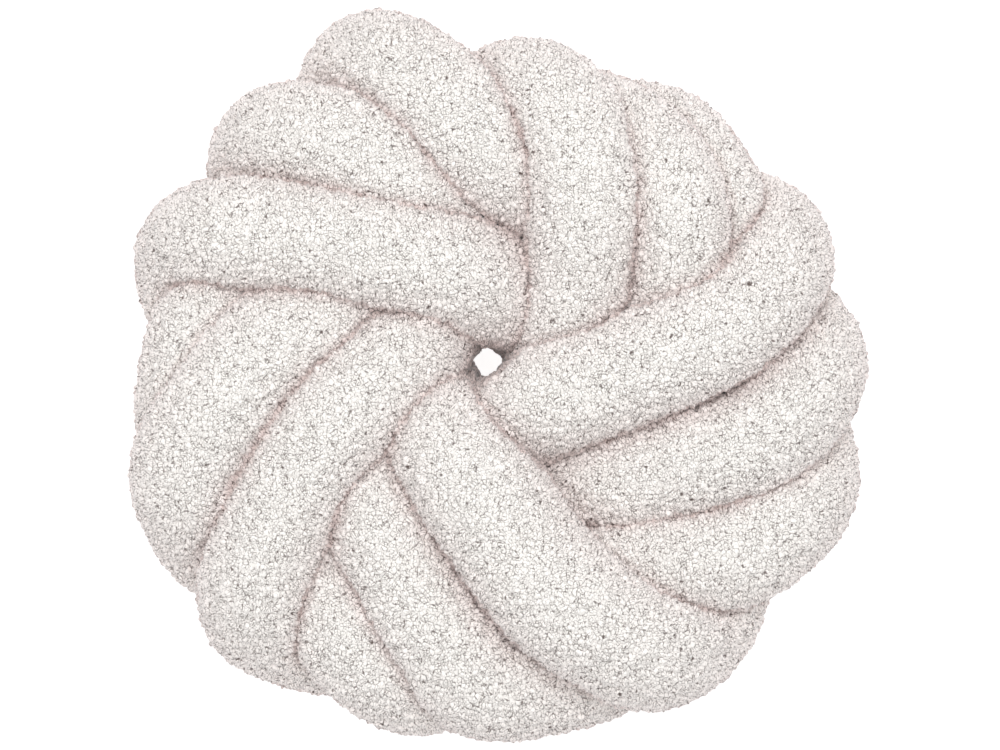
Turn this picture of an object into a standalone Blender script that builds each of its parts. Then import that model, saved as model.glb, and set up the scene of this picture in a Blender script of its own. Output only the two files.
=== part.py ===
"""Knot cushion: one long stuffed tube wound three times round a five-armed knot.

Each arm is three parallel passes of the tube. An arm comes up round the rim, runs over the arm
before it, dives under the arm after it beside the small hole in the middle, and goes on straight
across the back to the rim, where it turns up again two arms further on. The two ends of the tube
are tucked away inside, under the first pass of arm D.

Metres, +Z up. The cushion lies on its back with its face up. Its origin is on the resting plane,
under the middle of its box.
"""
from collections import namedtuple

import bmesh
import bpy
import numpy as np

MM = 0.001
FAR = 0.5                    # farther than anything on the cushion

# ---------------------------------------------------------------- the tube
TUBE_RADIUS = 30 * MM        # where nothing presses on it
SPREAD = 1.10                # how far a pressed tube widens, of its own radius
SHRINK = 0.85                # how far it may draw in
CORNER = 4 * MM              # rounding between a pressed side and a free side
PASS_GAP = 3 * MM            # left between two passes that press on each other
THINNEST = 4 * MM            # from the middle of the tube to its nearest side
END_LENGTH = 24 * MM         # rounded closed end

# ---------------------------------------------------------------- the knot
CENTRE_LIFT = 34 * MM        # middle of the tube over the mid plane, near the hole
RIM_LIFT = 27 * MM           # the same at the rim
LIFT_REACH = 170 * MM        # from the centre out to where the lift is the rim's
RIM_SLANT = 0.42             # how far the rim turn slants across its bearing, of its half width
HOLE = (-7 * MM, 8 * MM)     # place of the hole through the middle
HOLE_RADIUS = 5.5 * MM
HOLE_CLEAR = HOLE_RADIUS + 27 * MM    # from the hole's axis to the middle of the tube
REST_DROP = 58 * MM          # resting plane under the mid plane
BOX_SHIFT = (0.57 * MM, -0.03 * MM)   # brings the middle of the box over the origin

# ---------------------------------------------------------------- spacing of the passes
POINT_STEP = 10 * MM         # between two points of the centre line
PRESSED_PITCH = 48 * MM      # between the middles of two passes that lie side by side
STACK_RATIO = 1.45           # passes that lie on each other press this much closer
SAME_BEND = 80 * MM          # points this near along the tube belong to one bend
TIGHTEST_BEND = 28 * MM
SHARPEST_BOW = POINT_STEP ** 2 / (2 * TIGHTEST_BEND)
LOWEST, HIGHEST = -36 * MM, 46 * MM   # the middle of the tube settles between these heights
SPACING_ROUNDS = 300
# Share of each shortfall that one round makes up
PUSH_SHARE = 0.3             # of the distance two passes are too close by
CLEAR_SHARE = 0.5            # of the distance into the hole
HOLD_SHARE = 0.25            # of the way back to a held plan point
LEVEL_SHARE = 0.3            # of the height beyond the lowest and highest
SINK_SHARE = 0.005           # of the height over the mid plane
STRAIGHTEN_SHARE = 0.03      # of a bow
OPEN_SHARE = 0.5             # of what a bow is too sharp by
SLIDE_SHARE = 0.2            # of a step's difference from its neighbours
EVENING_SHARE = 0.22         # of a sudden change of bow
EVENING_PASSES = 6

# ---------------------------------------------------------------- facets
SIDES = 16                   # round the tube
RING_STEPS = (9 * MM, 18 * MM)        # along the tube, in a tight bend and on a straight run
RING_TURN = 0.34             # radians that the tube turns from ring to ring
RING_REACH = 5               # neighbouring rings that may cross on the inside of a bend
RING_CLEAR = 0.88            # share of the way to where they would cross
OWN_LENGTH = 60 * MM         # along the tube, nearer points don't press on a ring

# One row for each pass: name, bearing of its rim turn in degrees, reach of the tube's middle there,
# how far it has risen when it comes over the rim, of the rim lift, its girth, of the usual one, and
# its plan points over the face from the rim inwards. Lengths in millimetres from the centre.
Pass = namedtuple("Pass", "name bearing reach rise girth plan")
PASSES = {row[0]: Pass(*row) for row in (
    ("A1", 161.0, 173, 1.0, 1.00, ((-138, 75), (-77, 69), (-25, 58), (19, 31))),
    ("A2", 135.0, 171, 1.0, 1.00, ((-89, 126), (-41, 101), (16, 71))),
    ("A3", 113.0, 181, 1.0, 1.00, ((-37, 152), (-12, 130), (38, 96))),
    ("B1", 86.0, 148, 1.0, 1.00, ((41, 126), (46, 66), (34, 11), (21, -11))),
    ("B2", 69.0, 146, 1.0, 1.00, ((92, 107), (97, 55), (92, 25))),
    ("B3", 52.0, 148, 0.8, 1.00, ((113, 96), (121, 76), (122, 47))),
    ("C1", 27.0, 157, 1.0, 1.00, ((138, 41), (82, 8), (29, -12), (-19, -20))),
    ("C2", 2.0, 165, 1.0, 1.00, ((146, -29), (66, -57), (8, -68))),
    ("C3", -23.0, 172, 1.0, 1.00, ((132, -93), (82, -104), (49, -110))),
    ("D1", -55.0, 167, 1.0, 1.10, ((80, -147), (33, -119), (-10, -66), (-41, -11), (-47, 14))),
    ("D2", -82.0, 166, 1.0, 1.06, ((-14, -163), (-50, -114), (-77, -58))),
    ("D3", -110.0, 168, 0.9, 0.96, ((-79, -146), (-97, -110), (-103, -80))),
    ("E1", -131.0, 174, 1.0, 1.00, ((-131, -118), (-109, -52), (-60, 5), (-21, 41))),
    ("E2", -155.0, 177, 1.0, 1.00, ((-171, -55), (-141, -2), (-99, 47))),
    ("E3", -175.0, 164, 0.6, 0.96, ((-164, 10), (-157, 32), (-138, 56))),
)}
# Height of each plan point, of the lift there, by how many plan points the pass has: on top of the
# arm before it, then down under the arm after it.
LEVELS = {3: (1, 0.5, -0.4), 4: (1, 1, 0.5, -0.5), 5: (1, 1, 0.9, 0, -0.6)}

# The passes in the order in which the tube runs through them. The middle passes would close on
# themselves after five, so inside arm C the tube changes over from its middle to its last pass.
TUBE_ORDER = "E2 B2 D2 A2 C2 E1 B3 D1 A3 C1 E3 B1 D3 A1 C3".split()
CHANGES_AFTER = "C2"
# Hidden points under D1, in millimetres: the first end, the change-over and the last end.
START = (-6, -74, 8)
CHANGE_OVER = ((25, -64, 2), (-7, -93, -16), (-38, -122, -28))
END = (33, -106, 3)

# How firmly a point keeps its place in plan while the passes are spaced
HELD, HALF_HELD, LOOSE = 1.0, 0.5, 0.0


def lift(x, y):
    """Height of a pass over the mid plane: most beside the hole, least at the rim."""
    t = min(np.hypot(x, y) / LIFT_REACH, 1.0)
    return CENTRE_LIFT + (RIM_LIFT - CENTRE_LIFT) * t * t


def rim_turn(row):
    """Five points from the back, round the rim and on to the face: a half round in section.

    The tube comes off the back where the pass's first plan point is mirrored in its bearing.
    """
    bearing = np.radians(row.bearing)
    out = np.array((np.cos(bearing), np.sin(bearing)))
    side = np.array((-out[1], out[0]))
    top = np.array(row.plan[0]) * MM
    low = top - 2 * side * (top @ side)
    middle, half = (top + low) / 2, (top - low) / 2
    way = out * row.reach * MM - middle
    reach = np.linalg.norm(way)
    bend = min(RIM_LIFT, reach)
    points = [(*low, -RIM_LIFT)]
    for degrees, slant, rise in ((-45, -RIM_SLANT, 1), (0, 0, 1), (45, RIM_SLANT, row.rise)):
        angle = np.radians(degrees)
        plan = middle + way / reach * (reach - bend + bend * np.cos(angle)) + half * slant
        points.append((*plan, RIM_LIFT * np.sin(angle) * rise))
    points.append((*top, RIM_LIFT * row.rise))
    return [np.array(p) for p in points]


def back_run(start, end, parts_and_depths):
    """Points on the straight run across the back, from a dive to the next rim turn."""
    run = []
    for part, depth in parts_and_depths:
        p = start * (1 - part) + end * part
        p[2] = -lift(p[0], p[1]) * depth
        run.append(p)
    return run


def face_run(row):
    """The plan points after the first, each at its level, and how firmly it is held."""
    run = []
    for (x, y), level in zip(row.plan[1:], LEVELS[len(row.plan)][1:]):
        x, y = x * MM, y * MM
        run.append((np.array((x, y, lift(x, y) * level)), HELD if level > 0 else LOOSE))
    return run


def route_points():
    """Every point that the tube goes through, how firmly it is held in plan, and its girth."""
    points, hold, girth = [], [], []

    def add(new, firm, full=1.0):
        points.extend(new)
        hold.extend([firm] * len(new))
        girth.extend([full] * len(new))

    turns = {name: rim_turn(row) for name, row in PASSES.items()}
    start = np.array(START) * MM
    add([start], HALF_HELD)
    add(back_run(start, turns[TUBE_ORDER[0]][0], ((0.35, 1), (0.68, 1))), LOOSE)
    for name, following in zip(TUBE_ORDER, TUBE_ORDER[1:] + [None]):
        row = PASSES[name]
        add(turns[name][:-1], HALF_HELD, row.girth)
        add(turns[name][-1:], HELD, row.girth)
        run = face_run(row)
        if following is None or name == CHANGES_AFTER:
            run = run[:-1]
        for point, firm in run:
            add([point], firm, row.girth)
        if following is None:
            add([np.array(END) * MM], HALF_HELD)
        elif name == CHANGES_AFTER:
            add([np.array(p) * MM for p in CHANGE_OVER], LOOSE)
            add(back_run(points[-1], turns[following][0], ((0.5, 1),)), LOOSE)
        else:
            add(back_run(points[-1], turns[following][0], ((0.32, 0.85), (0.66, 1))), LOOSE)
    return np.array(points), np.array(hold), np.array(girth)


def lengths(curve):
    """Length along a curve at each of its points."""
    return np.r_[0, np.cumsum(np.linalg.norm(np.diff(curve, axis=0), axis=1))]


def at(values, along, places):
    """Values given along a curve, read at other places on it."""
    columns = values.reshape(len(values), -1).T
    read = np.stack([np.interp(places, along, column) for column in columns], 1)
    return read.reshape((len(places),) + values.shape[1:])


def spline(points, step):
    """Smooth curve through the points, as evenly spaced points along it."""
    last, curve = len(points) - 1, []
    s = np.linspace(0, 1, 24, endpoint=False)[:, None]
    for i in range(last):
        p0, p1, p2, p3 = points[max(i - 1, 0)], points[i], points[i + 1], points[min(i + 2, last)]
        a, b, c = (max(np.linalg.norm(q - p), 1e-9) ** 0.5 for p, q in ((p0, p1), (p1, p2), (p2, p3)))
        leave = p2 - p1
        if i > 0:
            leave = b * ((p1 - p0) / a - (p2 - p0) / (a + b) + (p2 - p1) / b)
        arrive = p2 - p1
        if i < last - 1:
            arrive = b * ((p2 - p1) / b - (p3 - p1) / (b + c) + (p3 - p2) / c)
        curve.append((2 * s**3 - 3 * s**2 + 1) * p1 + (s**3 - 2 * s**2 + s) * leave
                     + (3 * s**2 - 2 * s**3) * p2 + (s**3 - s**2) * arrive)
    curve = np.vstack(curve + [points[-1:]])
    along = lengths(curve)
    return at(curve, along, np.linspace(0, along[-1], int(round(along[-1] / step)) + 1))


def average(values, reach):
    """Running mean over a few neighbours to either side."""
    pad = np.pad(values, [(reach, reach)] + [(0, 0)] * (values.ndim - 1), mode="edge")
    total = np.cumsum(np.concatenate([np.zeros((1,) + pad.shape[1:]), pad]), axis=0)
    return (total[2 * reach + 1:] - total[:-2 * reach - 1]) / (2 * reach + 1)


def bow(line):
    """How far each point stands off the middle of its two neighbours."""
    out = np.zeros_like(line)
    out[1:-1] = (line[2:] + line[:-2]) / 2 - line[1:-1]
    return out


def push_apart(line, other):
    """Move points of different passes away from each other, up to the pressed pitch."""
    stretch = np.array((1, 1, STACK_RATIO))
    away = (line[:, None] - line[None]) * stretch
    distance = np.sqrt((away ** 2).sum(2)) + 1e-9
    short = np.where(other, np.maximum(0, PRESSED_PITCH - distance), 0)
    push = (away * (short / distance)[..., None]).sum(1) / stretch
    return line + PUSH_SHARE * push / np.maximum((short > 0).sum(1), 1)[:, None]


def clear_hole(line):
    """Keep the middle of the tube off the hole."""
    off = line[:, :2] - HOLE
    clear = np.linalg.norm(off, axis=1)
    line[:, :2] += off * (CLEAR_SHARE * np.maximum(0, HOLE_CLEAR - clear) / clear)[:, None]
    return line


def smooth_bends(line):
    """Even out the bends, open those that are too tight, and even out the points' spacing."""
    for _ in range(EVENING_PASSES):
        line = line - EVENING_SHARE * bow(bow(line))
    off = bow(line)
    size = np.maximum(np.linalg.norm(off, axis=1, keepdims=True), SHARPEST_BOW)
    line = line + off * (STRAIGHTEN_SHARE + OPEN_SHARE * (1 - SHARPEST_BOW / size))
    for _ in range(3):
        edge = np.diff(line, axis=0)
        size = np.linalg.norm(edge, axis=1, keepdims=True)
        slide = SLIDE_SHARE * edge * (1 - average(size, 8) / size)
        line[:-1] += slide
        line[1:] -= slide
    return line


def spaced_route():
    """Centre line of the tube and its girth, spaced so that the passes fit round each other.

    The plan of the visible runs is held, and the passes find their heights from what they cross.
    """
    points, hold, girth = route_points()
    line = spline(points, POINT_STEP)
    plan = line[:, :2].copy()
    near = np.linalg.norm(line[:, None, :2] - points[None, :, :2], axis=2)
    near += FAR * (np.abs(line[:, None, 2] - points[None, :, 2]) > RIM_LIFT / 2)
    nearest = near.argmin(1)
    hold, girth = hold[nearest], average(girth[nearest], 3)
    hold[:2] = hold[-2:] = HALF_HELD
    index = np.arange(len(line))
    other = np.abs(index[:, None] - index[None]) * POINT_STEP > SAME_BEND
    for _ in range(SPACING_ROUNDS):
        line = smooth_bends(clear_hole(push_apart(line, other)))
        line[:, :2] += (plan - line[:, :2]) * (HOLD_SHARE * hold)[:, None]
        outside = np.clip(line[:, 2], LOWEST, HIGHEST) - line[:, 2]
        line[:, 2] += LEVEL_SHARE * outside - SINK_SHARE * line[:, 2]
    return line, girth


def frames(line):
    """Tangent and two cross directions at each point, carried along without twisting."""
    tangent = np.gradient(line, axis=0)
    tangent /= np.linalg.norm(tangent, axis=1, keepdims=True)
    u = np.zeros_like(line)
    u[0] = np.cross(tangent[0], (0, 0, 1))
    u[0] /= np.linalg.norm(u[0])
    for i in range(1, len(line)):
        u[i] = u[i - 1] - tangent[i] * (u[i - 1] @ tangent[i])
        u[i] /= np.linalg.norm(u[i])
    return tangent, u, np.cross(tangent, u)


def ring_places(tangent, along):
    """Places of the rings: close together in bends, wider apart on straight runs."""
    turn = np.linalg.norm(np.gradient(tangent, axis=0), axis=1) / np.gradient(along)
    step = np.clip(RING_TURN / np.maximum(average(turn, 2), 1e-6), *RING_STEPS)
    count = np.r_[0, np.cumsum(2 * np.diff(along) / (step[1:] + step[:-1]))]
    rings = int(round(count[-1]))
    places = np.interp(np.linspace(0, count[-1], rings + 1), count, along)
    cap_end = END_LENGTH + RING_STEPS[0] / 2
    inner = (places > cap_end) & (places < along[-1] - cap_end)
    cap = END_LENGTH * (1 - np.cos(np.radians((24, 46, 68, 90))))
    return np.r_[cap, places[inner], along[-1] - cap[::-1]]


def room_by_passes(centre, ways, places, line, along):
    """How far each side may reach before it meets another pass: two passes share the space
    between them at the plane midway between their centre lines."""
    room = np.full(ways.shape[:2], FAR)
    for i, (point, way) in enumerate(zip(centre, ways)):
        apart = line - point
        facing = way @ apart.T
        reach = (apart ** 2).sum(1)[None] / (2 * np.maximum(facing, 1e-9))
        meets = (facing > 1e-9) & (np.abs(along - places[i]) > OWN_LENGTH)[None]
        room[i] = np.where(meets, reach, FAR).min(1) - PASS_GAP / 2
    return room


def room_in_bend(centre, tangent, ways):
    """How far each side may reach on the inside of a bend before it meets the next rings."""
    room = np.full(ways.shape[:2], FAR)
    for i in range(len(centre)):
        for j in range(max(i - RING_REACH, 0), min(i + RING_REACH + 1, len(centre))):
            if i == j:
                continue
            ahead = abs((centre[j] - centre[i]) @ tangent[j])
            lean = ways[i] @ tangent[j] * np.sign(j - i)
            cross = RING_CLEAR * ahead / np.maximum(lean, 1e-9)
            room[i] = np.minimum(room[i], np.where(lean > 1e-3, cross, FAR))
    return room


def room_at_hole(centre, ways):
    """How far each side may reach before it meets the hole."""
    to_hole = np.array(HOLE) - centre[:, :2]
    clear = np.linalg.norm(to_hole, axis=1)
    facing = np.einsum("ij,ikj->ik", to_hole / clear[:, None], ways[..., :2])
    reach = (clear - HOLE_RADIUS)[:, None] / np.maximum(facing, 1e-3)
    return np.where(facing > 1e-3, reach, FAR)


def pressed(room, limit):
    """The tube's own radius and the room it has, joined with a rounded corner."""
    return -CORNER * np.log(np.exp(-room / CORNER) + np.exp(-limit[:, None] / CORNER))


def sections(centre, ways, room, girth):
    """Radius to each side: the tube widens where it is pressed, to keep its filling."""
    down = -ways[..., 2]
    to_rest = np.where(down > 1e-3, (centre[:, None, 2] + REST_DROP) / np.maximum(down, 1e-3), FAR)
    wedge = 0.5 * np.sin(2 * np.pi / SIDES)
    full = TUBE_RADIUS * girth
    area = wedge * SIDES * full ** 2
    limit = full.copy()
    for _ in range(12):
        r = np.maximum(pressed(np.minimum(room, to_rest), limit), THINNEST)
        now = wedge * (r * np.roll(r, -1, 1)).sum(1)
        limit = np.clip(limit * (area / now) ** 0.45, SHRINK * full, SPREAD * full)
    return np.maximum(pressed(room, average(limit, 1)), THINNEST)


def tube_rings():
    """Rings of points along the whole tube, closing down at both ends, and the two end points."""
    coarse, coarse_girth = spaced_route()
    line = spline(coarse, POINT_STEP / 2)
    along = lengths(line)
    line_frames = frames(line)
    places = ring_places(line_frames[0], along)
    centre = at(line, along, places)
    tangent, u, v = (at(part, along, places) for part in line_frames)
    girth = np.interp(places, lengths(coarse), coarse_girth)
    turn = 2 * np.pi * np.arange(SIDES) / SIDES
    ways = np.cos(turn)[None, :, None] * u[:, None] + np.sin(turn)[None, :, None] * v[:, None]
    room = np.minimum.reduce((
        room_by_passes(centre, ways, places, line, along),
        room_in_bend(centre, tangent, ways),
        room_at_hole(centre, ways),
    ))
    radius = sections(centre, ways, room, girth)
    from_end = np.minimum(places, along[-1] - places) / END_LENGTH
    radius *= np.sqrt(1 - (1 - np.clip(from_end, 0, 1)) ** 2)[:, None]
    rings = centre[:, None] + ways * radius[..., None]
    return rest(rings), rest(line[[0, -1]])


def rest(points):
    """Bring points into the cushion's frame: the underside lies flat on the resting plane."""
    points[..., 2] = np.maximum(points[..., 2] + REST_DROP, 0)
    points[..., :2] += BOX_SHIFT
    return points


def tube_mesh(name):
    """One closed skin over the rings, with a point at each end."""
    rings, tips = tube_rings()
    bm = bmesh.new()
    rows = [[bm.verts.new(point) for point in ring] for ring in rings.tolist()]
    start, end = (bm.verts.new(point) for point in tips.tolist())
    for k in range(SIDES):
        after = (k + 1) % SIDES
        bm.faces.new((start, rows[0][after], rows[0][k]))
        for row, following in zip(rows, rows[1:]):
            bm.faces.new((row[k], row[after], following[after], following[k]))
        bm.faces.new((end, rows[-1][k], rows[-1][after]))
    bmesh.ops.recalc_face_normals(bm, faces=bm.faces[:])
    bmesh.ops.triangulate(bm, faces=bm.faces[:], quad_method="SHORT_EDGE")
    mesh = bpy.data.meshes.new(name)
    bm.to_mesh(mesh)
    bm.free()
    mesh.shade_smooth()
    return mesh


def cream_fleece():
    """Off-white curly fleece: matt, with a warm cast."""
    material = bpy.data.materials.new("cream_fleece")
    material.use_nodes = True
    shader = material.node_tree.nodes["Principled BSDF"]
    shader.inputs["Base Color"].default_value = (0.82, 0.78, 0.74, 1)
    shader.inputs["Roughness"].default_value = 0.95
    shader.inputs["Metallic"].default_value = 0.0
    return material


def main():
    for old in list(bpy.data.objects):
        bpy.data.objects.remove(old, do_unlink=True)
    mesh = tube_mesh("knotted_tube")
    mesh.materials.append(cream_fleece())
    bpy.context.scene.collection.objects.link(bpy.data.objects.new("knotted_tube", mesh))


if __name__ == "__main__":
    main()
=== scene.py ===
"""Knot cushion in off-white curly fleece: its looks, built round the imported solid.

The cushion is one long stuffed tube wound three times round a five-armed knot. The fleece tube is
laid along the same route as the solid, much finer, in five lengths that meet where they are hidden
inside the knot. Each length is pressed against its neighbours, gets more facets where it shows,
and is then covered with curly pile. Lengths are metres, +Z is up, and the face is up.
"""

import math
from collections import namedtuple

import bpy
import numpy as np
from bpy.props import (FloatProperty, FloatVectorProperty, IntProperty, PointerProperty,
                       StringProperty)
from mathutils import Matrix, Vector
from mathutils.bvhtree import BVHTree


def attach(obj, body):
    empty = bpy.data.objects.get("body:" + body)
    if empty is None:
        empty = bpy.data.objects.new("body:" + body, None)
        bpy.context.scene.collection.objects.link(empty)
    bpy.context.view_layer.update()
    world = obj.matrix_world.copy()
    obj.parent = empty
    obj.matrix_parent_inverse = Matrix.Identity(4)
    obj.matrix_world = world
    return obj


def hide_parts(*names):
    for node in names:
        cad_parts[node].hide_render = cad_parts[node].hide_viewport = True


bl_info = {
    "name": "Knot Cushion",
    "version": (1, 0, 0),
    "blender": (4, 5, 0),
    "location": "3D View > Sidebar > Knot Cushion",
    "description": "Builds a round knot cushion in curly fleece, with its stage",
    "category": "Add Mesh",
}

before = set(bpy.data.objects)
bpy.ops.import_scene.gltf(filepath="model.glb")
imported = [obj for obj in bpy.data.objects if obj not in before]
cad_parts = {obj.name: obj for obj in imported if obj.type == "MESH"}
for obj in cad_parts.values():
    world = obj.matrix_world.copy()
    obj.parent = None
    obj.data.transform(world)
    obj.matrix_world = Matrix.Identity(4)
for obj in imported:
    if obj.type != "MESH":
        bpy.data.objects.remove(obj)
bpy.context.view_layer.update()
NODE = "knotted_tube"

MM = 0.001
FAR = 0.5                    # farther than anything on the cushion
TINY = 1e-9                  # less than this counts as zero
LEAST_FACING = 1e-3          # cosine under which a side doesn't face what is beside it

# ---------------------------------------------------------------- the tube
# These and the spacing of the passes are the solid's own values, except where a comment says so.
SPREAD = 1.10                # how far a pressed tube widens, of its own radius
SHRINK = 0.85                # how far it may draw in
CORNER = 2.5 * MM            # rounding between a pressed side and a free side, 4 mm in the solid
THINNEST = 4 * MM            # from the middle of the tube to its nearest side
END_LENGTH = 24 * MM         # rounded closed end
FILL_ROUNDS = 12             # that bring a section back to its filling
FILL_POWER = 0.45            # of the ratio between the two areas, for one round
LIMIT_REACH = 1              # rings to either side over which the radius of free sides evens out
CENTRE_LIFT = 34 * MM        # middle of the tube over the mid plane, near the hole
RIM_LIFT = 27 * MM           # the same at the rim
LIFT_REACH = 170 * MM        # from the centre out to where the lift is the rim's
RIM_SLANT = 0.42             # how far the rim turn slants across its bearing, of its half width
HOLE = (-7 * MM, 8 * MM)     # place of the hole through the middle
HOLE_RADIUS = 5.5 * MM
HOLE_PILE = 4 * MM           # only here, more room for the pile that stands into the hole
HOLE_CLEAR = HOLE_RADIUS + 27 * MM    # from the hole's axis to the middle of the nearest pass
REST_DROP = 58 * MM          # resting plane under the mid plane
BOX_SHIFT = (0.57 * MM, -0.03 * MM)   # brings the middle of the box over the origin

# ---------------------------------------------------------------- spacing of the passes
POINT_STEP = 10 * MM         # between two points of the centre line
SPLINE_CUTS = 24             # points on each span of a curve, before they are spaced evenly
PRESSED_PITCH = 48 * MM      # between the middles of two passes that lie side by side
STACK_RATIO = 1.45           # passes that lie on each other press this much closer
SAME_BEND = 80 * MM          # points this near along the tube belong to one bend
TIGHTEST_BEND = 28 * MM
SHARPEST_BOW = POINT_STEP ** 2 / (2 * TIGHTEST_BEND)
LOWEST, HIGHEST = -36 * MM, 46 * MM   # the middle of the tube settles between these heights
SPACING_ROUNDS = 300
# Share of each shortfall that one round makes up
PUSH_SHARE = 0.3             # of the distance two passes are too close by
CLEAR_SHARE = 0.5            # of the distance into the hole
HOLD_SHARE = 0.25            # of the way back to a held plan point
LEVEL_SHARE = 0.3            # of the height beyond the lowest and highest
SINK_SHARE = 0.005           # of the height over the mid plane
STRAIGHTEN_SHARE = 0.03      # of a bow
OPEN_SHARE = 0.5             # of what a bow is too sharp by
SLIDE_SHARE = 0.2            # of a step's difference from its neighbours
EVENING_SHARE = 0.22         # of a sudden change of bow
EVENING_PASSES, SLIDE_PASSES = 6, 3    # times that one round evens the bends, and the steps
SLIDE_REACH = 8              # neighbours to either side that a step is set against
GIRTH_REACH = 3              # points to either side over which the girth changes

# ---------------------------------------------------------------- facets of the fleece
# They are finer than the solid's.
RING_TURN = 0.12             # radians that the tube turns from ring to ring
TURN_REACH = 2               # points to either side over which its turning is averaged
CAP_DEGREES = (12, 24, 36, 47, 58, 69, 80, 90)    # rings round a closed end, from its tip
RING_REACH = 8               # neighbouring rings that may cross on the inside of a bend
RING_CLEAR = 0.88            # share of the way to where they would cross
OWN_LENGTH = 60 * MM         # along the tube, nearer points don't press on a ring

# ---------------------------------------------------------------- lengths of the tube
LENGTHS = 5                  # the tube is made in this many lengths
CUT_WINDOW = 0.04            # of the tube, how far a cut may move to where it is hidden
RAY_FAN = ((0, 1), (35, 6), (65, 8))    # degrees off a surface's normal, and rays there
RAY_START = 1.5 * MM         # off the surface
SHOWS = 0.02                 # share of the open view above which a facet counts as showing
SHOWS_WELL = 0.12            # the same for a facet that gets the finest pile
ANY_NORMAL = -1              # for facets that point anywhere
BACK_NORMAL = -0.35          # facets that point down more than this are on the back
SHOWN_CUTS = 2               # on each edge of a facet that shows
FINE_CUTS = 1                # on each edge again, where it shows well on the face or rim

# ---------------------------------------------------------------- pattern of the pile
# Curls are drawn at their real width, about 3 mm, and the painted shade in the crevices between them
# 0.2 mm wide.
DRIFT_WIDTH = 1.0            # of the noise that bends the edges of the curls, of a curl's width
DRIFT = 0.6                  # how far it bends them, of a curl's width
# A curl rises like the upper half of a smooth step, which is half way up at the curl's edge
CURL_ROUND = 0.3             # from the edge to the top of the step, of a curl's width
CURL_DEPTH = 1.5             # how deep its foot would lie under the fleece, of the pile
CURL_RISE = 0.5              # how high its top stands over the fleece, of the pile
CURL_UNEVEN = 0.4            # how much higher or lower a curl stands, of the pile
FINE_CURL = 0.6              # width of the small curls between, of a curl's
FREE = 0.01                  # pile on points less open than this is pressed down
FILLED = 0.4                 # on points less open than this it stands into the valley
# Painted shade round a curl, full up to the first distance from its edge, of its width, none past the
# second
LINE = (0.01, 0.06)
FINE_LINE = (0.015, 0.09)    # the same round the small curls
TURNED = 0.4                 # the shade fades in over this share of a curl, up to its middle
GROOVE_SHADE_BELOW = 0.17                # pile less open than this gets painted groove shade
GROOVE_SHADE_SHARE = 0.45                # share of the painted groove shade colour where two passes meet

# ---------------------------------------------------------------- nodes and stage
MID_COLOUR = (0.5, 0.5, 0.5)               # middle of the range of a random colour
LOWEST_CORNER = (-2 * FAR, -2 * FAR, 0)    # on the resting plane, far off to the side
FIRST, SECOND, MIXED = 6, 7, 2             # sockets for colours on a Mix node
FLOOR_DROP = 0.2 * MM                      # the floor lies this far under the resting plane

# ---------------------------------------------------------------- route through the knot
# One row for each pass: name, bearing of its rim turn in degrees, reach of the tube's middle there,
# how far it has risen when it comes over the rim, of the rim lift, its girth, of the usual one, and
# its plan points over the face from the rim inwards. Lengths in millimetres from the centre. B2 and
# C1 have a girth of 1.00 in the solid. Here they are slimmer, so that the grooves beside them show.
Pass = namedtuple("Pass", "bearing reach rise girth plan")
PASSES = {name: Pass(*row) for name, *row in (
    ("A1", 161.0, 173, 1.0, 1.00, ((-138, 75), (-77, 69), (-25, 58), (19, 31))),
    ("A2", 135.0, 171, 1.0, 1.00, ((-89, 126), (-41, 101), (16, 71))),
    ("A3", 113.0, 181, 1.0, 1.00, ((-37, 152), (-12, 130), (38, 96))),
    ("B1", 86.0, 148, 1.0, 1.00, ((41, 126), (46, 66), (34, 11), (21, -11))),
    ("B2", 69.0, 146, 1.0, 0.86, ((92, 107), (97, 55), (92, 25))),
    ("B3", 52.0, 148, 0.8, 1.00, ((113, 96), (121, 76), (122, 47))),
    ("C1", 27.0, 157, 1.0, 0.94, ((138, 41), (82, 8), (29, -12), (-19, -20))),
    ("C2", 2.0, 165, 1.0, 1.00, ((146, -29), (66, -57), (8, -68))),
    ("C3", -23.0, 172, 1.0, 1.00, ((132, -93), (82, -104), (49, -110))),
    ("D1", -55.0, 167, 1.0, 1.10, ((80, -147), (33, -119), (-10, -66), (-41, -11), (-47, 14))),
    ("D2", -82.0, 166, 1.0, 1.06, ((-14, -163), (-50, -114), (-77, -58))),
    ("D3", -110.0, 168, 0.9, 0.96, ((-79, -146), (-97, -110), (-103, -80))),
    ("E1", -131.0, 174, 1.0, 1.00, ((-131, -118), (-109, -52), (-60, 5), (-21, 41))),
    ("E2", -155.0, 177, 1.0, 1.00, ((-171, -55), (-141, -2), (-99, 47))),
    ("E3", -175.0, 164, 0.6, 0.96, ((-164, 10), (-157, 32), (-138, 56))),
)}
# Height of each plan point, of the lift there, by how many plan points the pass has: on top of the
# arm before it, then down under the arm after it.
LEVELS = {3: (1, 0.5, -0.4), 4: (1, 1, 0.5, -0.5), 5: (1, 1, 0.9, 0, -0.6)}

# The passes in the order in which the tube runs through them. The middle passes would close on
# themselves after five, so inside arm C the tube changes over from its middle to its last pass.
TUBE_ORDER = "E2 B2 D2 A2 C2 E1 B3 D1 A3 C1 E3 B1 D3 A1 C3".split()
CHANGES_AFTER = "C2"
# Hidden points under D1, in millimetres: the first end, the change-over and the last end.
START = (-6, -74, 8)
CHANGE_OVER = ((25, -64, 2), (-7, -93, -16), (-38, -122, -28))
END = (33, -106, 3)
# Points on a run across the back: how far along it, and how deep, of the lift there
START_RUN = ((0.35, 1), (0.68, 1))
CHANGE_RUN = ((0.5, 1),)
BACK_RUN = ((0.32, 0.85), (0.66, 1))

# How firmly a point keeps its place in plan while the passes are spaced
HELD, HALF_HELD, LOOSE = 1.0, 0.5, 0.0


def linear(hex_colour):
    """An sRGB hex colour such as F4EFEA as linear red, green and blue."""
    parts = [int(hex_colour[i:i + 2], 16) / 255 for i in (0, 2, 4)]
    return [c / 12.92 if c <= 0.04045 else ((c + 0.055) / 1.055) ** 2.4 for c in parts]


# ================================================================ settings

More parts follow.
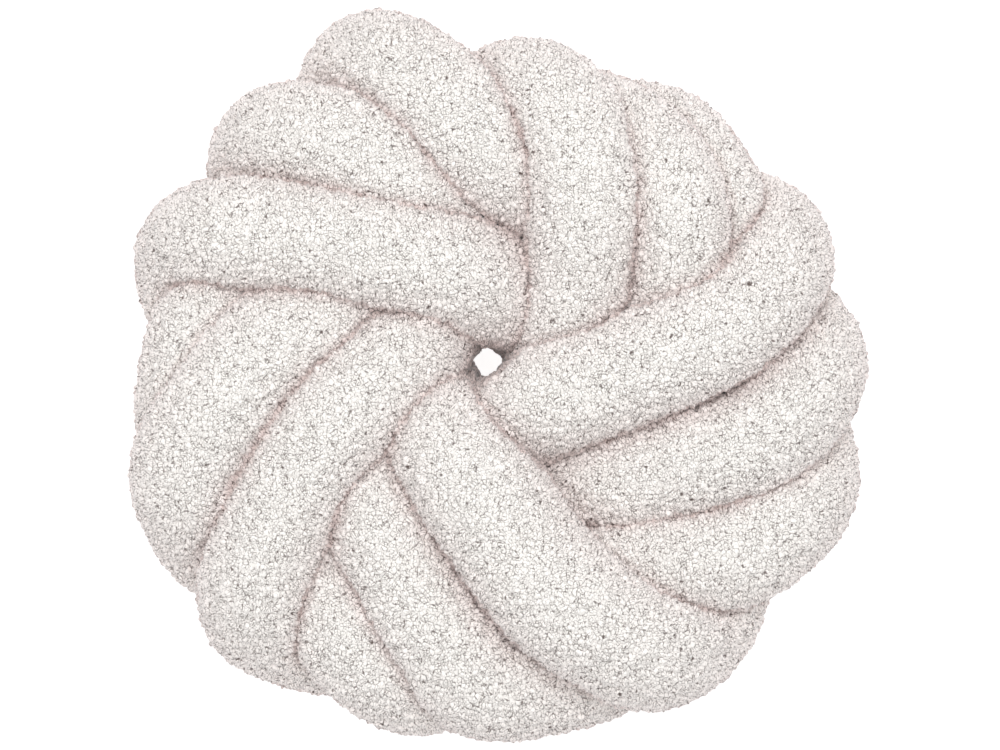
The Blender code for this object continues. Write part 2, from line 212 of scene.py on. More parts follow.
class FleeceSettings(bpy.types.PropertyGroup):
    """Sizes and colours of the fleece tube. The solid has 3 mm between passes and 16 sides."""
    tube_radius: FloatProperty(
        name="Tube radius", description="Where nothing presses on the tube",
        default=30 * MM, unit="LENGTH")
    pass_gap: FloatProperty(
        name="Gap", description="Left between two passes that press on each other",
        default=0.2 * MM, unit="LENGTH")
    sides: IntProperty(name="Sides", description="Facets round the tube", default=40)
    ring_near: FloatProperty(
        name="Ring step in bends", description="Between rings in a tight bend",
        default=4 * MM, unit="LENGTH")
    ring_far: FloatProperty(
        name="Ring step on runs", description="Between rings on a straight run",
        default=5 * MM, unit="LENGTH")
    curl: FloatProperty(
        name="Curl", description="Width of one curl of the pile", default=3.1 * MM, unit="LENGTH")
    pile: FloatProperty(
        name="Pile", description="Height of a curl over the crevice beside it",
        default=1.8 * MM, unit="LENGTH")
    tuft: FloatProperty(
        name="Tuft", description="Width of a tuft of several curls", default=6.5 * MM, unit="LENGTH")
    tuft_rise: FloatProperty(
        name="Tuft rise", description="Unevenness of the tufts", default=2.4 * MM, unit="LENGTH")
    lump: FloatProperty(
        name="Lump", description="Width of a lump of the filling", default=45 * MM, unit="LENGTH")
    lump_rise: FloatProperty(
        name="Lump rise", description="Unevenness of the filling", default=2.0 * MM, unit="LENGTH")
    fill: FloatProperty(
        name="Fill", description="How far the pile stands into a valley between two passes",
        default=2.5 * MM, unit="LENGTH")
    light: StringProperty(
        name="Curl colour", description="sRGB hex colour of the curls", default="FEFBF7")
    # Painted warm shade: the curls take this colour where they lie less open, on steep sides and in
    # valleys
    painted_warm_shade: StringProperty(
        name="Valley colour", description="sRGB hex colour of the curls in a valley",
        default="FBF1EE")
    # Painted shade: the pile turns towards this colour where two passes meet
    groove_shade: StringProperty(
        name="Groove colour", description="sRGB hex colour of matted pile where two passes meet",
        default="C4A8A2")
    # Painted shade: the crevices where a curl turns under take this colour
    deep: StringProperty(
        name="Crevice colour", description="sRGB hex colour where a curl turns under",
        default="46322C")
    open_shade: FloatProperty(
        name="Open shade", description="Share of the crevice colour that is left on open pile",
        default=0.92, subtype="FACTOR")


class StageSettings(bpy.types.PropertyGroup):
    """Sizes, light and colour of the stage."""
    frame_width: FloatProperty(
        name="Frame width", description="What the picture's width covers at the cushion",
        default=549.5 * MM, unit="LENGTH")
    camera_height: FloatProperty(
        name="Camera height", description="Over the resting plane", default=5.0, unit="LENGTH")
    floor_width: FloatProperty(
        name="Floor width", description="Side of the floor", default=12.0, unit="LENGTH")
    floor: StringProperty(
        name="Floor colour", description="sRGB hex colour of the floor", default="BCBCBC")
    surround: FloatProperty(
        name="Surround", description="Strength of the white light from all round", default=0.7)
    lamp_place: FloatVectorProperty(
        name="Lamp place", description="Middle of the soft box, which faces the cushion",
        default=(0, 0.5, 2.5), subtype="XYZ", unit="LENGTH")
    lamp_width: FloatProperty(
        name="Lamp width", description="Side of the soft box", default=1.6, unit="LENGTH")
    lamp_power: FloatProperty(
        name="Lamp power", description="What the soft box gives off", default=32, unit="POWER")


# ================================================================ route of the tube

def lift(x, y):
    """Height of a pass over the mid plane: most beside the hole, least at the rim."""
    t = min(np.hypot(x, y) / LIFT_REACH, 1.0)
    return CENTRE_LIFT + (RIM_LIFT - CENTRE_LIFT) * t * t


def rim_turn(row):
    """Five points from the back, round the rim and on to the face: a half round in section.

    The tube comes off the back where the pass's first plan point is mirrored in its bearing.
    """
    bearing = np.radians(row.bearing)
    out = np.array((np.cos(bearing), np.sin(bearing)))
    side = np.array((-out[1], out[0]))
    top = np.array(row.plan[0]) * MM
    low = top - 2 * side * (top @ side)
    middle, half = (top + low) / 2, (top - low) / 2
    way = out * row.reach * MM - middle
    reach = np.linalg.norm(way)
    bend = min(RIM_LIFT, reach)
    points = [(*low, -RIM_LIFT)]
    for degrees, slant, rise in ((-45, -RIM_SLANT, 1), (0, 0, 1), (45, RIM_SLANT, row.rise)):
        angle = np.radians(degrees)
        plan = middle + way / reach * (reach - bend + bend * np.cos(angle)) + half * slant
        points.append((*plan, RIM_LIFT * np.sin(angle) * rise))
    points.append((*top, RIM_LIFT * row.rise))
    return [np.array(p) for p in points]


def back_run(start, end, parts_and_depths):
    """Points on the straight run across the back, from a dive to the next rim turn."""
    run = []
    for part, depth in parts_and_depths:
        p = start * (1 - part) + end * part
        p[2] = -lift(p[0], p[1]) * depth
        run.append(p)
    return run


def face_run(row):
    """The plan points after the first, each at its level, and how firmly it is held."""
    run = []
    for (x, y), level in zip(row.plan[1:], LEVELS[len(row.plan)][1:]):
        x, y = x * MM, y * MM
        run.append((np.array((x, y, lift(x, y) * level)), HELD if level > 0 else LOOSE))
    return run


def route_points():
    """Every point that the tube goes through, how firmly it is held in plan, and its girth."""
    points, hold, girth = [], [], []

    def lay(new, firm, full=1.0):
        points.extend(new)
        hold.extend([firm] * len(new))
        girth.extend([full] * len(new))

    turns = {name: rim_turn(row) for name, row in PASSES.items()}
    start = np.array(START) * MM
    lay([start], HALF_HELD)
    lay(back_run(start, turns[TUBE_ORDER[0]][0], START_RUN), LOOSE)
    for name, following in zip(TUBE_ORDER, TUBE_ORDER[1:] + [None]):
        row = PASSES[name]
        lay(turns[name][:-1], HALF_HELD, row.girth)
        lay(turns[name][-1:], HELD, row.girth)
        run = face_run(row)
        if following is None or name == CHANGES_AFTER:
            run = run[:-1]
        for point, firm in run:
            lay([point], firm, row.girth)
        if following is None:
            lay([np.array(END) * MM], HALF_HELD)
        elif name == CHANGES_AFTER:
            lay([np.array(p) * MM for p in CHANGE_OVER], LOOSE)
            lay(back_run(points[-1], turns[following][0], CHANGE_RUN), LOOSE)
        else:
            lay(back_run(points[-1], turns[following][0], BACK_RUN), LOOSE)
    return np.array(points), np.array(hold), np.array(girth)


def length_along(curve):
    """Length along a curve at each of its points."""
    return np.r_[0, np.cumsum(np.linalg.norm(np.diff(curve, axis=0), axis=1))]


def at(values, along, places):
    """Values given along a curve, read at other places on it."""
    columns = values.reshape(len(values), -1).T
    read = np.stack([np.interp(places, along, column) for column in columns], 1)
    return read.reshape((len(places),) + values.shape[1:])


def spline(points, step):
    """Smooth curve through the points, as evenly spaced points along it."""
    last, curve = len(points) - 1, []
    s = np.linspace(0, 1, SPLINE_CUTS, endpoint=False)[:, None]
    for i in range(last):
        p0, p1, p2, p3 = points[max(i - 1, 0)], points[i], points[i + 1], points[min(i + 2, last)]
        a, b, c = (max(np.linalg.norm(q - p), TINY) ** 0.5 for p, q in ((p0, p1), (p1, p2), (p2, p3)))
        leave = p2 - p1
        if i > 0:
            leave = b * ((p1 - p0) / a - (p2 - p0) / (a + b) + (p2 - p1) / b)
        arrive = p2 - p1
        if i < last - 1:
            arrive = b * ((p2 - p1) / b - (p3 - p1) / (b + c) + (p3 - p2) / c)
        curve.append((2 * s**3 - 3 * s**2 + 1) * p1 + (s**3 - 2 * s**2 + s) * leave
                     + (3 * s**2 - 2 * s**3) * p2 + (s**3 - s**2) * arrive)
    curve = np.vstack(curve + [points[-1:]])
    along = length_along(curve)
    return at(curve, along, np.linspace(0, along[-1], int(round(along[-1] / step)) + 1))


def average(values, reach):
    """Running mean over a few neighbours to either side."""
    pad = np.pad(values, [(reach, reach)] + [(0, 0)] * (values.ndim - 1), mode="edge")
    total = np.cumsum(np.concatenate([np.zeros((1,) + pad.shape[1:]), pad]), axis=0)
    return (total[2 * reach + 1:] - total[:-2 * reach - 1]) / (2 * reach + 1)


def bow(line):
    """How far each point stands off the middle of its two neighbours."""
    out = np.zeros_like(line)
    out[1:-1] = (line[2:] + line[:-2]) / 2 - line[1:-1]
    return out


def push_apart(line, other):
    """Move points of different passes away from each other, up to the pressed pitch."""
    stretch = np.array((1, 1, STACK_RATIO))
    away = (line[:, None] - line[None]) * stretch
    distance = np.sqrt((away ** 2).sum(2)) + TINY
    short = np.where(other, np.maximum(0, PRESSED_PITCH - distance), 0)
    push = (away * (short / distance)[..., None]).sum(1) / stretch
    return line + PUSH_SHARE * push / np.maximum((short > 0).sum(1), 1)[:, None]


def clear_hole(line):
    """Keep the middle of the tube off the hole."""
    off = line[:, :2] - HOLE
    clear = np.linalg.norm(off, axis=1)
    line[:, :2] += off * (CLEAR_SHARE * np.maximum(0, HOLE_CLEAR - clear) / clear)[:, None]
    return line


def smooth_bends(line):
    """Even out the bends, open those that are too tight, and even out the points' spacing."""
    for _ in range(EVENING_PASSES):
        line = line - EVENING_SHARE * bow(bow(line))
    off = bow(line)
    size = np.maximum(np.linalg.norm(off, axis=1, keepdims=True), SHARPEST_BOW)
    line = line + off * (STRAIGHTEN_SHARE + OPEN_SHARE * (1 - SHARPEST_BOW / size))
    for _ in range(SLIDE_PASSES):
        edge = np.diff(line, axis=0)
        size = np.linalg.norm(edge, axis=1, keepdims=True)
        slide = SLIDE_SHARE * edge * (1 - average(size, SLIDE_REACH) / size)
        line[:-1] += slide
        line[1:] -= slide
    return line


def spaced_route():
    """Centre line of the tube and its girth, spaced so that the passes fit round each other.

    The plan of the visible runs is held, and the passes find their heights from what they cross.
    """
    points, hold, girth = route_points()
    line = spline(points, POINT_STEP)
    plan = line[:, :2].copy()
    near = np.linalg.norm(line[:, None, :2] - points[None, :, :2], axis=2)
    # A point of the other layer isn't near, whatever its plan
    near += FAR * (np.abs(line[:, None, 2] - points[None, :, 2]) > RIM_LIFT / 2)
    nearest = near.argmin(1)
    hold, girth = hold[nearest], average(girth[nearest], GIRTH_REACH)
    hold[:2] = hold[-2:] = HALF_HELD
    index = np.arange(len(line))
    other = np.abs(index[:, None] - index[None]) * POINT_STEP > SAME_BEND
    for _ in range(SPACING_ROUNDS):
        line = smooth_bends(clear_hole(push_apart(line, other)))
        line[:, :2] += (plan - line[:, :2]) * (HOLD_SHARE * hold)[:, None]
        outside = np.clip(line[:, 2], LOWEST, HIGHEST) - line[:, 2]
        line[:, 2] += LEVEL_SHARE * outside - SINK_SHARE * line[:, 2]
    return line, girth


# ================================================================ sections of the tube

def frames(line):
    """Tangent and two cross directions at each point, carried along without twisting."""
    tangent = np.gradient(line, axis=0)
    tangent /= np.linalg.norm(tangent, axis=1, keepdims=True)
    u = np.zeros_like(line)
    u[0] = np.cross(tangent[0], (0, 0, 1))
    u[0] /= np.linalg.norm(u[0])
    for i in range(1, len(line)):
        u[i] = u[i - 1] - tangent[i] * (u[i - 1] @ tangent[i])
        u[i] /= np.linalg.norm(u[i])
    return tangent, u, np.cross(tangent, u)


def ring_places(tangent, along, near, far):
    """Places of the rings: close together in bends, wider apart on straight runs."""
    turn = np.linalg.norm(np.gradient(tangent, axis=0), axis=1) / np.gradient(along)
    step = np.clip(RING_TURN / np.maximum(average(turn, TURN_REACH), TINY), near, far)
    count = np.r_[0, np.cumsum(2 * np.diff(along) / (step[1:] + step[:-1]))]
    rings = int(round(count[-1]))
    places = np.interp(np.linspace(0, count[-1], rings + 1), count, along)
    cap_end = END_LENGTH + near / 2
    inner = (places > cap_end) & (places < along[-1] - cap_end)
    cap = END_LENGTH * (1 - np.cos(np.radians(CAP_DEGREES)))
    return np.r_[cap, places[inner], along[-1] - cap[::-1]]


def room_by_passes(centre, ways, places, line, along, gap):
    """How far each side may reach before it meets another pass.

    Two passes share the space between them at the plane midway between their centre lines.
    """
    room = np.full(ways.shape[:2], FAR)
    for i, (point, way) in enumerate(zip(centre, ways)):
        apart = line - point
        facing = way @ apart.T
        reach = (apart ** 2).sum(1)[None] / (2 * np.maximum(facing, TINY))
        meets = (facing > TINY) & (np.abs(along - places[i]) > OWN_LENGTH)[None]
        room[i] = np.where(meets, reach, FAR).min(1) - gap / 2
    return room


def room_in_bend(centre, tangent, ways):
    """How far each side may reach on the inside of a bend before it meets the next rings."""
    room = np.full(ways.shape[:2], FAR)
    for i in range(len(centre)):
        for j in range(max(i - RING_REACH, 0), min(i + RING_REACH + 1, len(centre))):
            if i == j:
                continue
            ahead = abs((centre[j] - centre[i]) @ tangent[j])
            lean = ways[i] @ tangent[j] * np.sign(j - i)
            cross = RING_CLEAR * ahead / np.maximum(lean, TINY)
            room[i] = np.minimum(room[i], np.where(lean > LEAST_FACING, cross, FAR))
    return room


def room_at_hole(centre, ways):
    """How far each side may reach before it meets the hole."""
    to_hole = np.array(HOLE) - centre[:, :2]
    clear = np.linalg.norm(to_hole, axis=1)
    facing = np.einsum("ij,ikj->ik", to_hole / clear[:, None], ways[..., :2])
    reach = (clear - HOLE_RADIUS - HOLE_PILE)[:, None] / np.maximum(facing, LEAST_FACING)
    return np.where(facing > LEAST_FACING, reach, FAR)


def pressed(room, limit):
    """The tube's own radius and the room it has, joined with a rounded corner."""
    return -CORNER * np.log(np.exp(-room / CORNER) + np.exp(-limit[:, None] / CORNER))


def section_radius(centre, ways, room, full):
    """Radius to each side: the tube widens where it is pressed, to keep its filling.

    The resting plane counts among what presses, but it is rest() that then cuts the section flat.
    """
    sides = ways.shape[1]
    down = -ways[..., 2]
    to_rest = (centre[:, None, 2] + REST_DROP) / np.maximum(down, LEAST_FACING)
    to_rest = np.where(down > LEAST_FACING, to_rest, FAR)
    wedge = 0.5 * np.sin(2 * np.pi / sides)
    area = wedge * sides * full ** 2
    limit = full.copy()
    for _ in range(FILL_ROUNDS):
        r = np.maximum(pressed(np.minimum(room, to_rest), limit), THINNEST)
        now = wedge * (r * np.roll(r, -1, 1)).sum(1)
        limit = np.clip(limit * (area / now) ** FILL_POWER, SHRINK * full, SPREAD * full)
    return np.maximum(pressed(room, average(limit, LIMIT_REACH)), THINNEST)


def tube_rings(settings):
    """Rings of points along the whole tube, closing down at both ends, and its centre line."""
    coarse, coarse_girth = spaced_route()
    line = spline(coarse, POINT_STEP / 2)
    along = length_along(line)
    line_frames = frames(line)
    places = ring_places(line_frames[0], along, settings.ring_near, settings.ring_far)
    centre = at(line, along, places)
    tangent, u, v = (at(part, along, places) for part in line_frames)
    full = settings.tube_radius * np.interp(places, length_along(coarse), coarse_girth)
    turn = 2 * np.pi * np.arange(settings.sides) / settings.sides
    ways = np.cos(turn)[None, :, None] * u[:, None] + np.sin(turn)[None, :, None] * v[:, None]
    room = np.minimum.reduce((
        room_by_passes(centre, ways, places, line, along, settings.pass_gap),
        room_in_bend(centre, tangent, ways),
        room_at_hole(centre, ways),
    ))
    radius = section_radius(centre, ways, room, full)
    from_end = np.minimum(places, along[-1] - places) / END_LENGTH
    radius *= np.sqrt(1 - (1 - np.clip(from_end, 0, 1)) ** 2)[:, None]
    rings = centre[:, None] + ways * radius[..., None]
    return rest(rings), rest(centre), rest(line[[0, -1]])


def rest(points):
    """Bring points into the cushion's frame: the underside lies flat on the resting plane."""
    points[..., 2] = np.maximum(points[..., 2] + REST_DROP, 0)
    points[..., :2] += BOX_SHIFT
    return points


# ================================================================ lengths of the tube

def ray_fan():
    """Directions over a half ball about +Z, and the share of the open view that each stands for."""
    ways, shares = [], []
    for degrees, count in RAY_FAN:
        off = math.radians(degrees)
        for k in range(count):
            turn = 2 * math.pi * k / count
            ways.append((math.sin(off) * math.cos(turn), math.sin(off) * math.sin(turn), math.cos(off)))
            shares.append(math.cos(off))
    return [Vector(way) for way in ways], [share / sum(shares) for share in shares]


def strip_faces(rings, sides):
    """Quads between neighbouring rings, facing out, as numbers of their points."""
    ring, side = np.meshgrid(np.arange(rings - 1), np.arange(sides), indexing="ij")
    after = (side + 1) % sides
    corners = (ring * sides + side, ring * sides + after,
               (ring + 1) * sides + after, (ring + 1) * sides + side)
    return np.stack(corners, -1).reshape(-1, 4)


def openness(rings):
    """Share of the open view over each point of the tube that the cushion itself doesn't hide."""
    count, sides = rings.shape[:2]
    mesh = bpy.data.meshes.new("whole_tube")
    mesh.from_pydata(rings.reshape(-1, 3).tolist(), [], strip_faces(count, sides).tolist())
    tree = BVHTree.FromPolygons([v.co for v in mesh.vertices], [p.vertices for p in mesh.polygons])
    ways, shares = ray_fan()
    found = np.zeros(len(mesh.vertices))
    for v in mesh.vertices:
        turn = v.normal.to_track_quat("Z", "Y").to_matrix()
        start = v.co + v.normal * RAY_START
        for way, share in zip(ways, shares):
            if tree.ray_cast(start, turn @ way, FAR)[0] is None:
                found[v.index] += share
    bpy.data.meshes.remove(mesh)
    return found.reshape(count, sides)


def hidden_cuts(open_share):
    """Numbers of the rings where one length ends and the next begins, out of sight in the knot."""
    count, shows = len(open_share), open_share.max(1)
    cuts = [0]
    for k in range(1, LENGTHS):
        low = round(count * (k / LENGTHS - CUT_WINDOW))
        high = round(count * (k / LENGTHS + CUT_WINDOW))
        cuts.append(low + int(shows[low:high].argmin()))
    return cuts + [count - 1]


def length_object(name, rings, tips, open_share):
    """One closed length of the tube, with how open each of its points is."""
    count, sides = rings.shape[:2]
    start, end = count * sides, count * sides + 1
    faces = strip_faces(count, sides).tolist()
    for k in range(sides):
        after = (k + 1) % sides
        faces.append((start, after, k))
        faces.append((end, start - sides + k, start - sides + after))
    mesh = bpy.data.meshes.new(name)
    mesh.from_pydata(rings.reshape(-1, 3).tolist() + tips.tolist(), [], faces)
    mesh.shade_smooth()
    share = mesh.attributes.new("open_share", "FLOAT", "POINT")
    share.data.foreach_set("value", np.r_[open_share.ravel(), 0, 0].astype(np.float32))
    piece = bpy.data.objects.new(name, mesh)
    bpy.context.scene.collection.objects.link(piece)
    return piece


def only(piece):
    """Select one object and make it active."""
    bpy.ops.object.select_all(action="DESELECT")
    piece.select_set(True)
    bpy.context.view_layer.objects.active = piece


def refine(piece, cuts, least_share, least_normal):
    """Cut up the facets that are open enough and don't point down too far."""
    mesh = piece.data
    share = np.zeros(len(mesh.vertices), np.float32)
    mesh.attributes["open_share"].data.foreach_get("value", share)
    chosen = [bool(len(p.vertices) == 4 and p.normal.z >= least_normal
                   and share[list(p.vertices)].max() > least_share) for p in mesh.polygons]
    only(piece)
    bpy.ops.object.mode_set(mode="EDIT")
    bpy.ops.mesh.select_mode(type="FACE")
    bpy.ops.mesh.select_all(action="DESELECT")
    bpy.ops.object.mode_set(mode="OBJECT")
    mesh.polygons.foreach_set("select", chosen)
    bpy.ops.object.mode_set(mode="EDIT")
    bpy.ops.mesh.subdivide(number_cuts=cuts, smoothness=1)
    bpy.ops.object.mode_set(mode="OBJECT")


# ================================================================ pile and finish

def add(tree, kind, inputs=(), **settings):
    """Add a node with its settings. An input, by name or number, takes a value, a socket or a node.

    A node given as an input stands for its first output.
    """
    node = tree.nodes.new(kind)
    for key, value in settings.items():
        setattr(node, key, value)
    for key, value in dict(inputs).items():
        if isinstance(value, bpy.types.Node):
            value = value.outputs[0]
        if isinstance(value, bpy.types.NodeSocket):
            tree.links.new(value, node.inputs[key])
        else:
            node.inputs[key].default_value = value
    return node


def curls(tree, place, width):
    """Cells of curled pile with wavy edges.

    Gives the distance to a cell's edge, in cells, the cell's own random colour, and how far the
    place lies to the cell's own side of its middle.
    """
    noise = add(tree, "ShaderNodeTexNoise", {"Vector": place, "Scale": 1 / (DRIFT_WIDTH * width)})
    drift = add(tree, "ShaderNodeVectorMath", {0: noise.outputs["Color"], 1: MID_COLOUR},
                operation="SUBTRACT")
    bent = add(tree, "ShaderNodeVectorMath", {0: drift, 1: (DRIFT * width,) * 3, 2: place},
               operation="MULTIPLY_ADD")
    edge = add(tree, "ShaderNodeTexVoronoi", {"Vector": bent, "Scale": 1 / width},
               feature="DISTANCE_TO_EDGE")
    cell = add(tree, "ShaderNodeTexVoronoi", {"Vector": bent, "Scale": 1 / width})
    out = add(tree, "ShaderNodeVectorMath", {0: bent, 1: cell.outputs["Position"]},
              operation="SUBTRACT")
    lean = add(tree, "ShaderNodeVectorMath", {0: cell.outputs["Color"], 1: MID_COLOUR},
               operation="SUBTRACT")
    way = add(tree, "ShaderNodeVectorMath", {0: lean}, operation="NORMALIZE")
    side = add(tree, "ShaderNodeVectorMath", {0: out, 1: way}, operation="DOT_PRODUCT")
    return edge, cell.outputs["Color"], side.outputs["Value"]


def painted_crevice_shade(tree, place, width, line):
    """Crescents of painted shade where a curl turns under, from 0 to 1: the edge of a cell on one side.
    """
    edge, _, side = curls(tree, place, width)
    shade = add(tree, "ShaderNodeMapRange",
                {"Value": edge, "From Min": line[0], "From Max": line[1], "To Min": 1, "To Max": 0},
                interpolation_type="SMOOTHSTEP")
    turned = add(tree, "ShaderNodeMapRange",
                 {"Value": side, "From Min": -TURNED * width, "From Max": 0},
                 interpolation_type="SMOOTHSTEP")
    return add(tree, "ShaderNodeMath", {0: shade, 1: turned}, operation="MULTIPLY")


def pile_tree(settings):
    """Geometry nodes that raise the pile: curls with crevices between them, tufts and lumps."""
    tree = bpy.data.node_groups.new("curly_pile", "GeometryNodeTree")
    tree.interface.new_socket("Geometry", in_out="INPUT", socket_type="NodeSocketGeometry")
    tree.interface.new_socket("Geometry", in_out="OUTPUT", socket_type="NodeSocketGeometry")
    place = add(tree, "GeometryNodeInputPosition")
    mesh = add(tree, "GeometryNodeStoreNamedAttribute",
               {"Geometry": add(tree, "NodeGroupInput"), "Name": "pile_place", "Value": place},
               data_type="FLOAT_VECTOR", domain="POINT")
    edge, cell, _ = curls(tree, place, settings.curl)
    height = add(tree, "ShaderNodeMapRange",
                 {"Value": edge, "From Min": -CURL_ROUND, "From Max": CURL_ROUND,
                  "To Min": -CURL_DEPTH * settings.pile, "To Max": CURL_RISE * settings.pile},
                 interpolation_type="SMOOTHSTEP")
    tuft = add(tree, "ShaderNodeTexNoise", {"Vector": place, "Scale": 1 / settings.tuft, "Detail": 1})
    lump = add(tree, "ShaderNodeTexNoise", {"Vector": place, "Scale": 1 / settings.lump, "Detail": 1})
    for value, rise in ((cell, CURL_UNEVEN * settings.pile),
                        (tuft, settings.tuft_rise), (lump, settings.lump_rise)):
        uneven = add(tree, "ShaderNodeMapRange", {"Value": value, "To Min": -rise, "To Max": rise})
        height = add(tree, "ShaderNodeMath", {0: height, 1: uneven}, operation="ADD")
    share = add(tree, "GeometryNodeInputNamedAttribute", {"Name": "open_share"})
    normal = add(tree, "GeometryNodeInputNormal")
    # How open the fleece lies: where it sees out and is level, less on its sides and in valleys.
    # The material paints its shade and warm bounce light by this.
    level = add(tree, "ShaderNodeMath",
                {0: add(tree, "ShaderNodeSeparateXYZ", {0: normal}).outputs["Z"]},
                operation="ABSOLUTE")
    open_for_painted_shade = add(tree, "ShaderNodeMath", {0: share, 1: level}, operation="MULTIPLY")
    mesh = add(tree, "GeometryNodeStoreNamedAttribute",
               {"Geometry": mesh, "Name": "open_for_painted_shade", "Value": open_for_painted_shade},
               data_type="FLOAT", domain="POINT")
    fill = add(tree, "ShaderNodeMapRange",
               {"Value": share, "From Min": 0, "From Max": FILLED,
                "To Min": settings.fill, "To Max": 0}, interpolation_type="SMOOTHSTEP")
    height = add(tree, "ShaderNodeMath", {0: height, 1: fill}, operation="ADD")
    free = add(tree, "ShaderNodeMapRange", {"Value": share, "From Min": 0, "From Max": FREE},
               interpolation_type="SMOOTHSTEP")
    height = add(tree, "ShaderNodeMath", {0: height, 1: free}, operation="MULTIPLY")
    out = add(tree, "ShaderNodeVectorMath", {0: normal, "Scale": height}, operation="SCALE")
    raised = add(tree, "GeometryNodeSetPosition", {"Geometry": mesh, "Offset": out})
    # Nothing reaches under the resting plane
    over = add(tree, "ShaderNodeVectorMath",
               {0: add(tree, "GeometryNodeInputPosition"), 1: LOWEST_CORNER}, operation="MAXIMUM")
    flat = add(tree, "GeometryNodeSetPosition", {"Geometry": raised, "Position": over})
    add(tree, "NodeGroupOutput", {0: flat})
    return tree


def curly_fleece(settings):
    """Polyester fleece, knitted, brushed up and tumbled so that its pile curls into small knots.

    It has no gloss, only a soft sheen at grazing angles. Each curl has painted shade where it turns
    under.
    The pile has a warmer painted shade on its sides and in the valleys, for light that bounces about in
    it, and a darker painted shade where two passes meet.
    """
    material = bpy.data.materials.new("curly_polyester_fleece")
    material.use_nodes = True
    tree = material.node_tree
    shader = tree.nodes["Principled BSDF"]
    place = add(tree, "ShaderNodeAttribute", attribute_name="pile_place").outputs["Vector"]
    open_for_painted_shade = add(tree, "ShaderNodeAttribute", attribute_name="open_for_painted_shade").outputs["Fac"]
    # Painted shade in the crevices where each curl turns under, round the large and the small curls
    coarse = painted_crevice_shade(tree, place, settings.curl, LINE)
    fine = painted_crevice_shade(tree, place, FINE_CURL * settings.curl, FINE_LINE)
    dark = add(tree, "ShaderNodeMath", {0: coarse, 1: fine}, operation="MAXIMUM")
    # The painted crevice shade is stronger where the pile lies less open
    depth = add(tree, "ShaderNodeMapRange",
                {"Value": open_for_painted_shade, "To Min": 1, "To Max": settings.open_shade})
    shade = add(tree, "ShaderNodeMath", {0: dark, 1: depth}, operation="MULTIPLY")
    # Painted warm shade and bounce light on the sides and in the valleys, by how open and level the
    # pile lies
    curl = add(tree, "ShaderNodeMix",
               {0: open_for_painted_shade, FIRST: (*linear(settings.painted_warm_shade), 1),
                SECOND: (*linear(settings.light), 1)}, data_type="RGBA")
    # Painted shade along the grooves where two passes meet
    shaded = add(tree, "ShaderNodeMapRange",
                 {"Value": open_for_painted_shade, "From Min": 0, "From Max": GROOVE_SHADE_BELOW, "To Min": GROOVE_SHADE_SHARE,
                  "To Max": 0}, interpolation_type="SMOOTHSTEP")
    curl = add(tree, "ShaderNodeMix",
               {0: shaded, FIRST: curl.outputs[MIXED],
                SECOND: (*linear(settings.groove_shade), 1)}, data_type="RGBA")
    colour = add(tree, "ShaderNodeMix",
                 {0: shade, FIRST: curl.outputs[MIXED],
                  SECOND: (*linear(settings.deep), 1)}, data_type="RGBA")
    tree.links.new(colour.outputs[MIXED], shader.inputs["Base Color"])
    shader.inputs["Roughness"].default_value = 0.95
    shader.inputs["Specular IOR Level"].default_value = 0.2
    shader.inputs["Sheen Weight"].default_value = 0.5
    shader.inputs["Sheen Roughness"].default_value = 0.5
    return material


def white_floor(settings):
    """White acrylic sheet, lit from under it as for product photographs.

    It gives off enough light of its own to wash out the cushion's shadow.
    """
    material = bpy.data.materials.new("lit_white_acrylic")
    material.use_nodes = True
    shader = material.node_tree.nodes["Principled BSDF"]
    shader.inputs["Base Color"].default_value = (*linear(settings.floor), 1)
    shader.inputs["Roughness"].default_value = 0.6
    shader.inputs["Emission Color"].default_value = (1, 1, 1, 1)
    shader.inputs["Emission Strength"].default_value = 0.75
    return material


# ================================================================ stage

def lay_floor(settings):
    """A wide floor just under the cushion."""
    bpy.ops.mesh.primitive_plane_add(size=settings.floor_width, location=(0, 0, -FLOOR_DROP))
    floor = bpy.context.object
    floor.name = "floor"
    floor.data.materials.append(white_floor(settings))


def light_all_round(settings):
    """A white surround of even strength."""
    world = bpy.data.worlds.new("pale_surround")
    world.use_nodes = True
    background = world.node_tree.nodes["Background"]
    background.inputs["Color"].default_value = (1, 1, 1, 1)
    background.inputs["Strength"].default_value = settings.surround
    bpy.context.scene.world = world


def hang_soft_box(settings):
    """A square lamp high over the cushion, turned to its middle."""
    bpy.ops.object.light_add(type="AREA", location=tuple(settings.lamp_place))
    lamp = bpy.context.object
    lamp.name = "soft_box"
    lamp.data.shape = "SQUARE"
    lamp.data.size = settings.lamp_width
    lamp.data.energy = settings.lamp_power
    lamp.rotation_euler = (-lamp.location).to_track_quat("-Z", "Y").to_euler()


def aim_camera(settings):
    """The camera straight over the face. Its lens fits the frame's width at the mid plane."""
    bpy.ops.object.camera_add(location=(*BOX_SHIFT, settings.camera_height))
    camera = bpy.context.object
    camera.name = "camera"
    camera.data.lens = (camera.data.sensor_width * (settings.camera_height - REST_DROP)
                        / settings.frame_width)
    bpy.context.scene.camera = camera


# ================================================================ operators

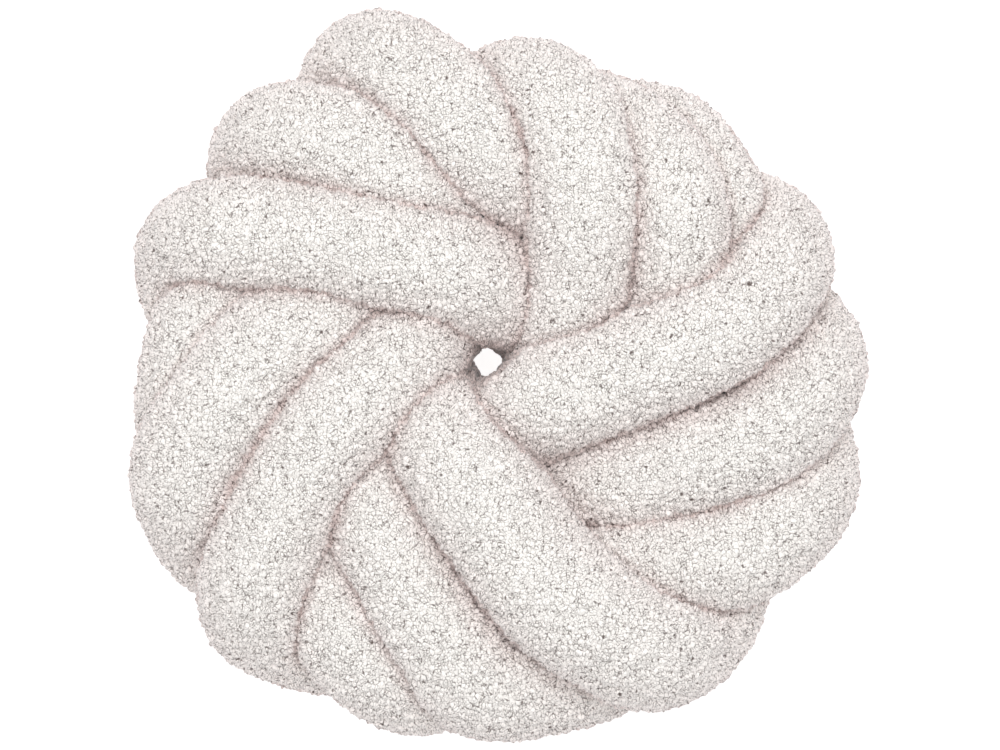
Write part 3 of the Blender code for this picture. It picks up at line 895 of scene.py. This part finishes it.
class CUSHION_OT_fleece_tube(bpy.types.Operator):
    """Lay the knotted fleece tube in its lengths, and raise its curly pile"""
    bl_idname = "cushion.fleece_tube"
    bl_label = "Fleece tube"

    def execute(self, context):
        settings = context.scene.cushion_fleece
        rings, centre, tips = tube_rings(settings)
        open_share = openness(rings)
        cuts = hidden_cuts(open_share)
        finish = curly_fleece(settings)
        pile = pile_tree(settings)
        for number, (low, high) in enumerate(zip(cuts, cuts[1:]), 1):
            ends = np.array((tips[0] if low == 0 else centre[low],
                             tips[1] if number == LENGTHS else centre[high]))
            piece = length_object(f"fleece_tube_{number}", rings[low:high + 1], ends,
                                  open_share[low:high + 1])
            refine(piece, SHOWN_CUTS, SHOWS, ANY_NORMAL)
            refine(piece, FINE_CUTS, SHOWS_WELL, BACK_NORMAL)
            raised = piece.modifiers.new("Curly pile", "NODES")
            raised.node_group = pile
            bpy.ops.object.modifier_apply(modifier=raised.name)
            cut = piece.modifiers.new("Triangles", "TRIANGULATE")
            bpy.ops.object.modifier_apply(modifier=cut.name)
            piece.data.materials.append(finish)
            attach(piece, "root")
            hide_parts(NODE)
        return {"FINISHED"}


class CUSHION_OT_stage(bpy.types.Operator):
    """Set the pale floor, the soft light and the camera straight over the face"""
    bl_idname = "cushion.stage"
    bl_label = "Stage"

    def execute(self, context):
        settings = context.scene.cushion_stage
        bpy.ops.object.select_all(action="DESELECT")
        lay_floor(settings)
        light_all_round(settings)
        hang_soft_box(settings)
        aim_camera(settings)
        context.scene.view_settings.view_transform = "Standard"
        return {"FINISHED"}


class CUSHION_PT_panel(bpy.types.Panel):
    """Sizes and colours of the knot cushion, and its steps"""
    bl_idname = "CUSHION_PT_panel"
    bl_label = "Knot Cushion"
    bl_space_type = "VIEW_3D"
    bl_region_type = "UI"
    bl_category = "Knot Cushion"

    def draw(self, context):
        for label, settings, operator in (
                ("Fleece tube", context.scene.cushion_fleece, CUSHION_OT_fleece_tube),
                ("Stage", context.scene.cushion_stage, CUSHION_OT_stage)):
            box = self.layout.box()
            box.label(text=label)
            for name in settings.__annotations__:
                box.prop(settings, name)
            box.operator(operator.bl_idname)


CLASSES = (FleeceSettings, StageSettings, CUSHION_OT_fleece_tube, CUSHION_OT_stage, CUSHION_PT_panel)


def register():
    for cls in CLASSES:
        bpy.utils.register_class(cls)
    bpy.types.Scene.cushion_fleece = PointerProperty(type=FleeceSettings)
    bpy.types.Scene.cushion_stage = PointerProperty(type=StageSettings)


def unregister():
    del bpy.types.Scene.cushion_stage
    del bpy.types.Scene.cushion_fleece
    for cls in reversed(CLASSES):
        bpy.utils.unregister_class(cls)


def main():
    register()
    bpy.ops.cushion.fleece_tube()
    bpy.ops.cushion.stage()


if __name__ == "__main__":
    main()
